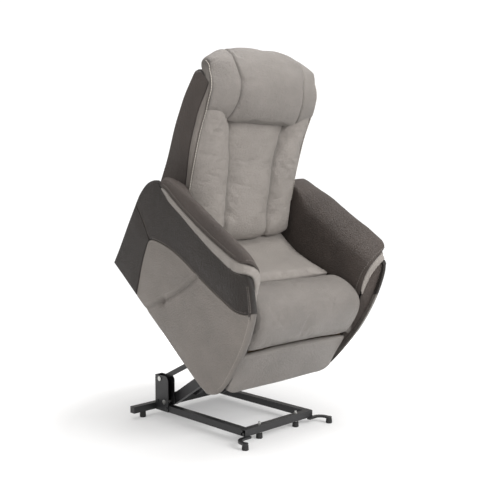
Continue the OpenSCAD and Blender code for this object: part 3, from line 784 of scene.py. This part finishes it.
def arm_section(u):
    """Cross-section of the arm pad: up from the strip, over the ridge and down the inner wall."""
    low_v = np.interp(u, high_edge[:80, 0], high_edge[:80, 1])
    low_x = float(side_width(np.array([u, low_v]))) - 1
    ridge = np.interp(u, [120, 150, 229, 300, 400, 520, 604], [542, 551, 565, 576, 588, 601, 609])
    steep = 0.4 + 0.6 * smooth(u, 150, 300)
    pad = spline([(low_v, low_x), (low_v + 0.45 * (ridge - low_v), low_x + 2),
                  (ridge - 10, low_x - 3), (ridge, 381), (ridge - 8 * steep, 360),
                  (ridge - 24 * steep, 338), (ridge - 46 * steep, 315),
                  (ridge - 76 * steep, 298), (ridge - 108, 293)], PAD_ROWS)
    wall = np.linspace(pad[-1], (60, INNER_W), WALL_ROWS + 1)[1:]
    return np.vstack([pad, wall])


def arm_top_grid():
    """Arm pad and inner wall, closed round at its rear and front ends."""
    rear_v = np.concatenate([np.linspace(512, 480, PAD_ROWS), np.linspace(478, 60, WALL_ROWS)])
    rear_x = np.concatenate([np.linspace(388, 297, PAD_ROWS), np.full(WALL_ROWS, 296.0)])
    rear = np.column_stack([at_height(REAR, rear_v) + 14, rear_v, rear_x])
    front_pad = spline([(622, 572, 390), (636, 577, 381), (652, 574, 350), (662, 557, 324),
                        (669, 526, 306)], PAD_ROWS)
    front_wall = spline([(670, 518, 304), (676, 492, 300), (686, 460, 298), (700, 428, 297),
                         (712, 360, 296), (728, 256, 295), (738, 150, 294), (742, 60, 293)],
                        WALL_ROWS)
    front = np.vstack([front_pad, front_wall])
    rows = []

    def close(u, end, steps):
        """Rows that bend from a section of the arm to the line that ends it."""
        base = np.column_stack([np.full(len(end), u), arm_section(u)])
        for t in steps:
            row = base * (1 - rounded(t)) + end * rounded(t)
            row[:, 0] = base[:, 0] * (1 - t) + end[:, 0] * t
            rows.append(row)

    close(PAD_FROM, rear, np.linspace(1, 0.06, 11))
    for u in np.linspace(PAD_FROM, PAD_TO, 80):
        rows.append(np.column_stack([np.full(len(rear), u), arm_section(u)]))
    close(PAD_TO, front, np.linspace(0.05, 1, 16))
    grid = np.array(rows)
    n = grid_normals(grid)
    soft = 1.2 * ripple(grid, 70.0, 8) + 0.5 * ripple(grid, 24.0, 9)
    fade = np.minimum(np.arange(grid.shape[1]), 6)[None, :] / 6
    return grid + n * (soft * fade)[..., None]


def rear_edge_grid():
    """Closing panel at the rear of a side, between its outer panel and the inner wall."""
    v = np.linspace(8, 504, 70)
    w = np.linspace(0, 1, 14)
    inner, outer = 300.0, side_width(np.column_stack([at_height(REAR, v), v])) - 12
    grid = np.zeros((70, 14, 3))
    grid[..., 0] = (at_height(REAR, v) + 9)[:, None] - 4 * np.sin(np.pi * w)[None]
    grid[..., 1] = v[:, None]
    grid[..., 2] = inner + (outer - inner)[:, None] * w[None]
    return grid


facing_in = spline([(656, 548, 382), (666, 542, 360), (674, 511, 336), (684, 476, 321),
                    (698, 441, 309), (710, 410, 302), (722, 350, 300), (738, 256, 298),
                    (748, 150, 297), (742, 30, 296)], 90)
facing_out = spline([(672, 549, 386), (697, 522, 380), (718, 488, 372), (733, 458, 362),
                     (748, 425, 353), (761, 370, 341), (770, 300, 330), (774, 224, 322),
                     (773, 156, 315), (768, 90, 307), (754, 40, 302)], 90)


def facing_grid():
    """Recessed dark facing on the front of the arm."""
    w = np.linspace(0, 1, 12)
    grid = between(facing_in, facing_out, w)
    grid[..., 0] += 4.0 * np.sin(np.pi * w)[None]
    return grid


LONG_EDGES = (False, False, True, True)


def edge_of(shape, near=(True, True, True, True), pitch=(6.0, 6.0)):
    """Seam marks for a grid: 1 at the chosen edges, fading inwards."""
    i, j = np.meshgrid(np.arange(shape[0]), np.arange(shape[1]), indexing="ij")
    gaps = [i * pitch[0], (shape[0] - 1 - i) * pitch[0], j * pitch[1], (shape[1] - 1 - j) * pitch[1]]
    mark = np.zeros(shape)
    for use, gap in zip(near, gaps):
        if use:
            mark = np.maximum(mark, np.exp(-gap / SEAM_REACH))
    return mark


def sided(grid, side):
    """A left-hand grid, or its mirror image with the same outward face."""
    if side > 0:
        return grid
    return (grid * (1, 1, -1))[:, ::-1]


def facing_out_of(grid, direction):
    """The grid with its columns in the order that makes its normals point the given way."""
    n = grid_normals(grid).reshape(-1, 3).mean(axis=0)
    return grid if n @ np.asarray(direction, float) > 0 else grid[:, ::-1]


def side_slab(hand, side, name, grid, outward, thick, slot, material, near=LONG_EDGES,
              pitch=(7, 6), **more):
    """A padded part of one side, mirrored for its hand and turned to face outwards."""
    grid = facing_out_of(sided(grid, side), np.array(outward) * (1, 1, side))
    slab(f"{hand}_{name}", grid, thick, "seat_frame", slot, material,
         edge=edge_of(grid.shape[:2], near, pitch), **more)


def pad_lines(side):
    """Stitch lines on the arm pad: beside the strip, and down the front of the inner wall."""
    pad = arm_top_grid()
    n = grid_normals(pad)
    n *= np.sign(n[40, 2, 2])
    raised = pad + 1.0 * n
    beside, front = raised[12:-17, 2], raised[-4, 5:52]
    return [beside * (1, 1, side), front * (1, 1, side)]


SIDES = ((1, "left"), (-1, "right"))
SIDE_PANELS = (
    (light_panel, "light_panel", 22, "light_leather", side_painted_shade_hide, "side_panel"),
    (rear_panel, "rear_side", 20, "dark_leather", dark_painted_shade_hide, "rear_panel"),
    (arm_panel, "upper_side", 22, "dark_leather", dark_painted_shade_hide, "arm_panel"),
)
for side, hand in SIDES:
    for panel, name, depth, slot, material, node in SIDE_PANELS:
        panel.build(f"{hand}_{name}", side, depth, "seat_frame", slot, material,
                    nodes=[f"{hand}_{node}"], fill=0.5)
    side_slab(hand, side, "arm_strip", strip_grid(), (0.2, 0.5, 1.0), 9, "light_leather", hide,
              pitch=(7, 4), nodes=[f"{hand}_arm_gusset"], fill=0.5)
    side_slab(hand, side, "arm_pad", arm_top_grid(), (0, 0.2, -1.0), 9, "dark_leather", dark_hide,
              near=(False, True, side < 0, side > 0), nodes=[f"{hand}_arm_top"], fill=0.6)
    side_slab(hand, side, "rear_edge", rear_edge_grid(), (-1.0, 0, 0), 6, "dark_leather",
              dark_hide, fill=0.4)
    side_slab(hand, side, "arm_facing", facing_grid(), (1.0, 0, 0), 8, "dark_leather", dark_hide,
              pitch=(7, 5), fill=0.4)
    rows = [row_along(light_panel, low_front[low_front[:, 1] > 60], 9, side),
            row_along(light_panel, BOUNDARY[4:-4], -6, side)]
    stitches(f"{hand}_light_rows", rows, "seat_frame", "light_leather", grey_thread)
    beside = ((up_front[:-3], 6), (up_front[:-3], 12), (strip_low[3:-3], -5),
              (top_bound[3:-3], 6), (REAR_SEAM[2:-2], 6))
    rows = [row_along(arm_panel, line, gap, side) for line, gap in beside] + pad_lines(side)
    stitches(f"{hand}_dark_rows", rows, "seat_frame", "dark_leather", dark_thread)


# ------------------------------------------------------------------ the seat
PAD_W = 288.0


def end_stations(half):
    """Stations across a cushion, closer together at its rounded ends."""
    ends = np.array([0, 1.2, 3.2, 6.5, 11, 17, 24, 32, 42, 54])
    middle = np.linspace(-half + 62, half - 62, int((2 * half - 124) / 9.0))
    return np.concatenate([-half + ends, middle, (half - ends)[::-1]])


def cushion_rings(outline, half, end_reach, end_inset, crown, seed, shape=None):
    """Rings of a cushion that runs across the chair."""
    rings, marks = [], []
    for x in end_stations(half):
        d = half - abs(x)
        t = np.clip(1 - d / end_reach, 0, 1)
        ring = inset(outline, end_inset * rounded(t))
        middle = 1 - (abs(x) / half) ** 2.4
        ring = inset(ring, crown * (1 - middle))
        full = np.column_stack([ring, np.full(len(ring), x)])
        if shape is not None:
            shape(full)
        rings.append(full)
        marks.append(np.full(len(ring), math.exp(-d / SEAM_REACH)))
    rings = np.array(rings)
    way = rings - rings.mean(axis=1, keepdims=True)
    way[..., 2] = 0
    waves = 1.2 * ripple(rings, 55.0, seed) + 1.3 * ripple(rings, 160.0, seed + 7)
    rings += unit(way) * waves[..., None]
    return rings, np.array(marks)


def closed_outline(points, count):
    return spline(points + [points[0]], count + 1)[:-1]


seat_outline = closed_outline([(222, 300), (222, 326), (234, 341), (290, 341), (361, 344),
                               (452, 364), (515, 384), (538, 387), (547, 378), (548, 350),
                               (547, 295), (535, 286), (400, 285), (240, 286)], 110)
rings, marks = cushion_rings(seat_outline, PAD_W, 26, 14, crown=5, seed=11)
seam_near = np.exp(-np.abs(seat_outline[:, 0] - 549) / 6)
loft("seat_pad", rings, "seat_frame", "light_leather", hide,
     edge=np.maximum(marks, seam_near[None] * 0.8),
     nodes=["seat_cushion"], fill=0.8, swell=9)

roll_outline = closed_outline([(551, 300), (551, 350), (552, 378), (560, 394), (585, 415),
                               (630, 431), (676, 436), (712, 430), (740, 412), (758, 382),
                               (768, 344), (772, 305), (769, 272), (757, 258), (740, 262),
                               (735, 284), (650, 285), (565, 286)], 120)


def droop(full):
    """Drop of the seam between the roll and the leg rest, which sags towards both ends."""
    return 4 - 13 * (abs(full[0, 2]) / PAD_W) ** 2


def drooping(full):
    """Bend the low front of the roll to its seam."""
    full[:, 1] += droop(full) * smooth(-full[:, 1], -330, -262) * smooth(full[:, 0], 690, 745)


rings, marks = cushion_rings(roll_outline, PAD_W, 46, 24, crown=7, seed=23, shape=drooping)
seam_near = np.maximum(np.exp(-np.abs(roll_outline[:, 0] - 550) / 6),
                       np.exp(-np.abs(roll_outline[:, 1] - 256) / 8))
loft("seat_roll", rings, "seat_frame", "light_leather", front_painted_shade_hide,
     edge=np.maximum(marks, seam_near[None] * 0.8),
     nodes=["seat_front_roll"], fill=0.9, swell=8)

foot_outline = closed_outline([(745, 70), (746, 58), (762, 51), (784, 52), (794, 64), (793, 90),
                               (788, 130), (783, 180), (779, 225), (773, 246), (758, 252),
                               (746, 246), (745, 225), (745, 150)], 90)


def bowed(full):
    """The top of the leg rest follows the roll above it, and its lower corners are rounded."""
    full[:, 1] += droop(full) * smooth(full[:, 1], 150, 250)
    corner = smooth(abs(full[0, 2]), 225, 290)
    full[:, 1] += 16 * corner**2 * smooth(-full[:, 1], -120, -55)


rings, marks = cushion_rings(foot_outline, PAD_W + 2, 26, 16, crown=4, seed=31, shape=bowed)
loft("footrest_pad", rings, "footrest", "light_leather", front_painted_shade_hide, edge=marks,
     nodes=["footrest_cushion"], fill=0.8, swell=5)


# ------------------------------------------------------------------ the back
SEAM = spline([(222, 351), (262, 349), (276, 356), (282, 376), (276, 404), (240, 464), (190, 551),
               (138, 641), (100, 708), (69, 766), (48, 812), (28, 850), (12, 870)], 130)
PIPE = spline([(214, 352), (244, 356), (250, 378), (226, 416), (190, 475), (160, 540),
               (138, 590), (110, 660), (85, 730), (70, 790), (52, 835), (24, 862), (6, 868)], 130)
REAR_OF_PAD = spline([(206, 362), (198, 400), (168, 466), (118, 553), (68, 641), (30, 712),
                      (-4, 776), (-10, 820), (-12, 850), (-8, 862)], 130)
EDGE_X = 284.0


def channel_half(v):
    return np.interp(v, [341, 406, 464, 641, 766, 870], [121, 119, 116, 120, 150, 156])


def back_grid():
    """Front of the back cushion with its centre channel and two side channels."""
    inner = np.linspace(-1, 1, 41)
    w = 1 - (1 - np.linspace(0, 1, 29)[1:]) ** 1.15
    rows, marks = [], []
    n = -left_of(np.gradient(SEAM, axis=0))
    for k, (s, e) in enumerate(zip(SEAM, PIPE)):
        h = float(channel_half(s[1]))
        soft = smooth(k, 2, 26)
        mid = 17.0 * (1 - np.abs(inner) ** 2.2) * soft
        mid -= 10.0 * np.exp(-((1 - np.abs(inner)) * h / 6.0) ** 2)
        part = s[None] + n[k][None] * mid[:, None]
        centre = np.column_stack([part, inner * h])
        base = s[None] * (1 - w)[:, None] + e[None] * w[:, None]
        puff = 30.0 * (1 - np.abs(2 * w - 1) ** 2.2) * soft - 10.0 * np.exp(-(w * 165 / 6.0) ** 2)
        sides = np.column_stack([base + n[k][None] * puff[:, None], h + (EDGE_X - h) * w])
        rows.append(np.vstack([(sides * (1, 1, -1))[::-1], centre, sides]))
        m_in = np.exp(-(1 - np.abs(inner)) * h / 5)
        m_out = np.maximum(np.exp(-w * (EDGE_X - h) / 5), np.exp(-(1 - w) * (EDGE_X - h) / 5))
        marks.append(np.concatenate([m_out[::-1], m_in, m_out]))
    grid = np.array(rows)
    marks = np.array(marks)
    n3 = np.concatenate([n[:, None].repeat(grid.shape[1], axis=1),
                         np.zeros((*grid.shape[:2], 1))], axis=2)
    from_seam = np.abs(np.abs(grid[..., 2]) - channel_half(grid[..., 1]))
    creases = 2.2 * ripple(grid * (1, 1, 0.3), 17.0, 41) * np.exp(-from_seam / 20)
    creases += 1.3 * ripple(grid * (1, 1, 0.6), 34.0, 42)
    swell = 2.5 * ripple(grid, 120.0, 43)
    return grid + n3 * (creases * (1 - marks) + swell * (1 - marks))[..., None], marks


grid, marks = back_grid()
rear = np.zeros_like(grid)
rear[..., :2] = REAR_OF_PAD[:, None]
rear[..., 2] = grid[..., 2] * 0.94
slab("back_pad", grid, 0, "backrest", "light_leather", hide, edge=marks, back=rear,
     nodes=["back_cushion"], fill=0.85, swell=9)

SHELL_EDGE = spline([(184, 420), (143, 517), (96, 631), (62, 736), (41, 804), (31, 850), (22, 890)])
PIPE_UP = spline([(190, 475), (160, 540), (138, 590), (110, 660), (85, 730), (68, 800), (54, 840),
                  (40, 872), (24, 897)])


def back_width(p):
    """Half width of the back behind its piping, fuller between the arms' tops and the headrest."""
    v = p[..., 1]
    return 285.5 + 15.0 * smooth(v, 500, 700) * (1 - 0.9 * smooth(v, 760, 900))


def band_grid():
    """Light band between the piping and the dark shell."""
    count = 80
    front_line = even(PIPE_UP, count)
    v = np.linspace(440, 896, count)
    rear_line = np.column_stack([at_height(SHELL_EDGE, v), v])
    w = np.linspace(0, 1, 12)
    flat = between(front_line, rear_line, w)
    x = 283.0 + (back_width(flat) - 285.0) * np.sqrt(np.clip(w, 0, 1))[None]
    x = x + 3.5 * np.sin(np.pi * w)[None]
    x += 0.8 * ripple(flat, 24.0, 51) * np.sin(np.pi * w)[None]
    return np.concatenate([flat, x[..., None]], axis=2)


shell_rear = spline([(12, 424), (-10, 530), (-40, 690), (-72, 857), (-70, 882), (-56, 896)])
shell_top = np.array([[-56, 896], [-20, 899], [18, 899.0]])
shell_side = Panel([SHELL_EDGE, shell_top[::-1], shell_rear[::-1], np.array([[12, 421], [182, 421.0]])],
                   back_width, [(SHELL_EDGE, 4), (shell_rear, 13), (shell_top, 6)], puff=2)
HEAD_CROSSING = []
welt = spline([(192, 475, EDGE_X), (162, 540, EDGE_X), (140, 590, EDGE_X), (112, 660, EDGE_X),
               (87, 730, EDGE_X), (70, 798, EDGE_X), (58, 842, 286), (44, 884, 286),
               (23, 911, 286), (-2, 928, 286), (-19, 942, 285), (-46, 944, 284)])
welt_row = welt + (2.0, 1.0, 2.2)


def rear_grid():
    """Rear panel of the back, from the hinge line up and over the top."""
    line = spline([(28, 276), (14, 330), (22, 380), (14, 420), (-8, 530), (-40, 690), (-74, 857),
                   (-72, 884), (-58, 898), (-34, 901), (4, 901)], 96)
    x = np.linspace(-1, 1, 61)
    n = left_of(np.gradient(line, axis=0))
    half = np.where(line[:, 1] < 430, 270.0, back_width(line) - 11)
    crown = 9.0 * (1 - np.abs(x) ** 3)
    upper = smooth(line[:, 1], 280, 460)[:, None, None]
    flat = line[:, None] + n[:, None] * crown[None, :, None] * upper
    wide = half[:, None] * x[None]
    return np.concatenate([flat, wide[..., None]], axis=2)


for side, hand in SIDES:
    grid = facing_out_of(sided(band_grid(), side), (0, 0, 1.0 * side))
    slab(f"{hand}_back_band", grid, 7, "backrest", "light_leather", side_painted_shade_hide,
         edge=edge_of(grid.shape[:2], LONG_EDGES, (5, 4)), fill=0.5,
         nodes=["back_gussets"] if side > 0 else [])
    shell_side.build(f"{hand}_shell_wall", side, 13, "backrest", "dark_leather", dark_hide,
                     fill=0.4, nodes=["back_shell"] if side > 0 else [])
    rope = tube(f"{hand}_piping", welt * (1, 1, side), 2.6, None, "light_leather",
                side_painted_shade_hide, keep=True)
    row = stitches(f"{hand}_piping_row", [welt_row * (1, 1, side)], None, "light_leather",
                   pale_thread, keep=True)
    HEAD_CROSSING += [rope, row]
grid = facing_out_of(rear_grid(), (-1.0, 0, 0))
slab("shell_rear", grid, 8, "backrest", "dark_leather", dark_hide,
     edge=edge_of(grid.shape[:2], pitch=(7, 9)), fill=0.4)


# ------------------------------------------------------------------ the headrest
HEAD_W = 286.0
HEAD_SEAM = 182.0
HEAD_CENTRE = np.array([0, 890.0])
head_outline = closed_outline([(52, 806), (62, 784), (84, 772), (102, 780), (111, 806), (110, 850),
                               (98, 892), (76, 936), (40, 976), (-8, 1003), (-50, 1012),
                               (-82, 1001), (-93, 968), (-84, 930), (-62, 909), (-20, 902),
                               (8, 899), (27, 884), (40, 846)], 150)


def head_stations():
    near_seam = HEAD_SEAM + np.array([-14, -9, -5.5, -3, -1.2, 0, 1.2, 3, 5.5, 9, 14])
    half = np.concatenate([np.arange(9, 164, 14), near_seam, np.arange(206, 250, 12),
                           HEAD_W - np.array([24, 17, 11, 6.5, 3.2, 1.2, 0])])
    return np.concatenate([-half[::-1], half])


def head_rings():
    """Rings of the headrest: three sewn sections, falling away to its sides and corners."""
    u, v = head_outline.T
    front = smooth(u, -30, 70)
    seam_x = np.interp(v, [780, 799, 875, 946, 1000], [186, 182, 171, 168, 186])
    seam_x = np.where(u < -40, 190, seam_x)
    sewn = smooth(u + 0.9 * (v - 780), 20, 80)
    way = unit(head_outline - HEAD_CENTRE)
    rings, marks = [], []
    for x in head_stations():
        size = abs(x)
        d = HEAD_W - size
        t = np.clip(1 - d / 14, 0, 1)
        flat = inset(head_outline, 7 * rounded(t))
        low = np.interp(size, [0, 140, 182, 230, 286], [0, 4, 14, 26, 38])
        high = np.interp(size, [0, 140, 182, 230, 286], [0, 3, 13, 28, 50])
        back = low + (high - low) * smooth(v, 800, 895)
        flat[:, 0] -= back * front
        flat[:, 0] += 30 * smooth(size, 190, 286) * smooth(-u, 10, 60)
        flat[:, 1] -= 58 * (size / HEAD_W) ** 2.4 * smooth(v, 870, 1030)
        flat[:, 1] += 24 * smooth(size, 170, 286) * smooth(-v, -850, -778) * smooth(u, 20, 60)
        off = size - HEAD_SEAM
        swell = 5.0 * (1 - np.exp(-(off / 40.0) ** 2)) - 6.5 * np.exp(-(off / 5.0) ** 2)
        flat = flat + way * ((swell - 3.5) * sewn)[:, None]
        if size <= HEAD_SEAM:
            place = size / HEAD_SEAM * seam_x
        else:
            place = seam_x + off / (HEAD_W - HEAD_SEAM) * (HEAD_W - seam_x)
        rings.append(np.column_stack([flat, np.sign(x) * place]))
        marks.append(np.maximum(math.exp(-d / SEAM_REACH), math.exp(-abs(off) / 3.0) * sewn))
    rings, marks = np.array(rings), np.array(marks)
    puffy = np.concatenate([way, np.zeros((len(way), 1))], axis=1)[None]
    wander = 1.6 * ripple(rings, 90.0, 61) + 0.9 * ripple(rings * (1, 1, 0.4), 22.0, 62)
    return rings + puffy * (wander * (1 - marks))[..., None], marks


rings, marks = head_rings()
pillow = loft("headrest_pillow", rings, "backrest", "light_leather", head_painted_shade_hide, edge=marks,
              nodes=["headrest_cushion", "headrest_lower_pad"], fill=0.85, keep=True, swell=7)
for piece in [pillow] + HEAD_CROSSING:
    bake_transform(piece)


# ------------------------------------------------------------------ rear cover
COVER_W = 306.0


def cover_grid():
    z = np.linspace(16, 268, 40)
    x = np.linspace(-COVER_W, COVER_W, 81)
    grid = np.zeros((40, 81, 3))
    grid[..., 1] = z[:, None]
    grid[..., 2] = x[None]
    lift = (1 - np.abs(x / COVER_W) ** 4)[None] * (1 - np.abs((z - 142) / 126) ** 4)[:, None]
    grid[..., 0] = 3 - 8 * lift + 3 * np.exp(-((np.abs(x) - 150) / 4) ** 2)[None] * lift
    return grid


grid = facing_out_of(cover_grid(), (-1.0, 0, 0))
slab("lower_rear_cover", grid, 6, "seat_frame", "dark_leather", dark_hide,
     edge=edge_of(grid.shape[:2], pitch=(7, 7)), nodes=["rear_cover"], fill=0.4)


# ------------------------------------------------------------------ finishes of the CAD parts
OTHER_FINISH = {
    "timber": ("seat_side_rails", "seat_cross_rails", "footrest_board"),
    "bright_steel": ("levelling_bolts", "base_pivot_pins", "carriage_pins"),
    "rod_steel": ("lift_rod", "leg_rod", "back_rod"),
    "black_plastic": ("lift_motor", "leg_motor", "back_motor", "control_box", "power_inlet"),
    "foot_rubber": ("levelling_feet", "outrigger_feet", "rear_bar_feet"),
    "black_bolts": ("frame_bolts",),
    "spring_steel": ("seat_springs",),
    "end_cap_plastic": ("rear_bar_caps",),
}
finish_of = {node: name for name, nodes in OTHER_FINISH.items() for node in nodes}
for node, obj in frame["nodes"].items():
    obj.data.materials.clear()
    obj.data.materials.append(FINISH[finish_of.get(node, "black_steel")])


# ------------------------------------------------------------------ studio
def floor_material():
    mat, tree, shader, place = nodes_of("pale_floor")
    tone = ramp(tree, noise(tree, place, 1.5, 3.0, 0.5),
                [(0.3, (0.6, 0.6, 0.6)), (0.7, (0.64, 0.64, 0.64))])
    apart = tree.nodes.new("ShaderNodeVectorMath")
    apart.operation = "LENGTH"
    feed(tree, apart, {0: place})
    # Painted light: the floor glows, 0.3 near the chair rising to 1.1 towards its rim, so it fades into
    # the white backdrop.
    painted_floor_glow = reach(tree, apart.outputs["Value"], 0.7, 1.9, 0.3, 1.1)
    feed(tree, shader, {"Base Color": tone, "Roughness": 0.9, "Specular IOR Level": 0.1,
                        "Emission Color": (1, 1, 1, 1), "Emission Strength": painted_floor_glow})
    return mat


FLOOR_RADIUS = 2.1
bpy.ops.mesh.primitive_circle_add(vertices=96, radius=FLOOR_RADIUS, fill_type="NGON", location=(0, 0, 0))
floor = bpy.context.object
floor.name = "studio_floor"
floor.data.materials.append(floor_material())

world = bpy.context.scene.world or bpy.data.worlds.new("studio")
bpy.context.scene.world = world
world.use_nodes = True
sky = world.node_tree
ambient = feed(sky, sky.nodes["Background"], {"Color": (1.0, 0.975, 0.95, 1), "Strength": 0.5})
backdrop = sky.nodes.new("ShaderNodeBackground")
feed(sky, backdrop, {"Color": (1, 1, 1, 1), "Strength": 1.1})
seen = sky.nodes.new("ShaderNodeLightPath").outputs["Is Camera Ray"]
choose = sky.nodes.new("ShaderNodeMixShader")
feed(sky, choose, {0: seen, 1: ambient.outputs[0], 2: backdrop.outputs[0]})
feed(sky, sky.nodes["World Output"], {"Surface": choose.outputs[0]})


def softbox(name, place, aim, size, power):
    light = bpy.data.lights.new(name, "AREA")
    light.shape = "RECTANGLE"
    light.size, light.size_y = size
    light.energy = power
    obj = bpy.data.objects.new(name, light)
    bpy.context.scene.collection.objects.link(obj)
    obj.location = place
    obj.rotation_euler = (Vector(aim) - Vector(place)).to_track_quat("-Z", "Y").to_euler()


MIDDLE = (0.0, 0.0, 0.8)
softbox("key", (0.7, -3.2, 2.1), MIDDLE, (1.8, 1.8), 100)
softbox("top", (0.1, -0.3, 3.8), MIDDLE, (3.0, 3.0), 115)
softbox("fill", (-3.2, -0.6, 1.6), MIDDLE, (2.0, 2.0), 22)

CAMERA_AT = (-2.206, -2.287, 0.964)
CAMERA_TURN = (85.31, 0, -44.62)
LENS = 57.0
camera = bpy.data.objects.new("camera", bpy.data.cameras.new("camera"))
bpy.context.scene.collection.objects.link(camera)
camera.location = CAMERA_AT
camera.rotation_euler = [math.radians(angle) for angle in CAMERA_TURN]
camera.data.lens = LENS
bpy.context.scene.camera = camera
bpy.context.scene.view_settings.view_transform = "Standard"
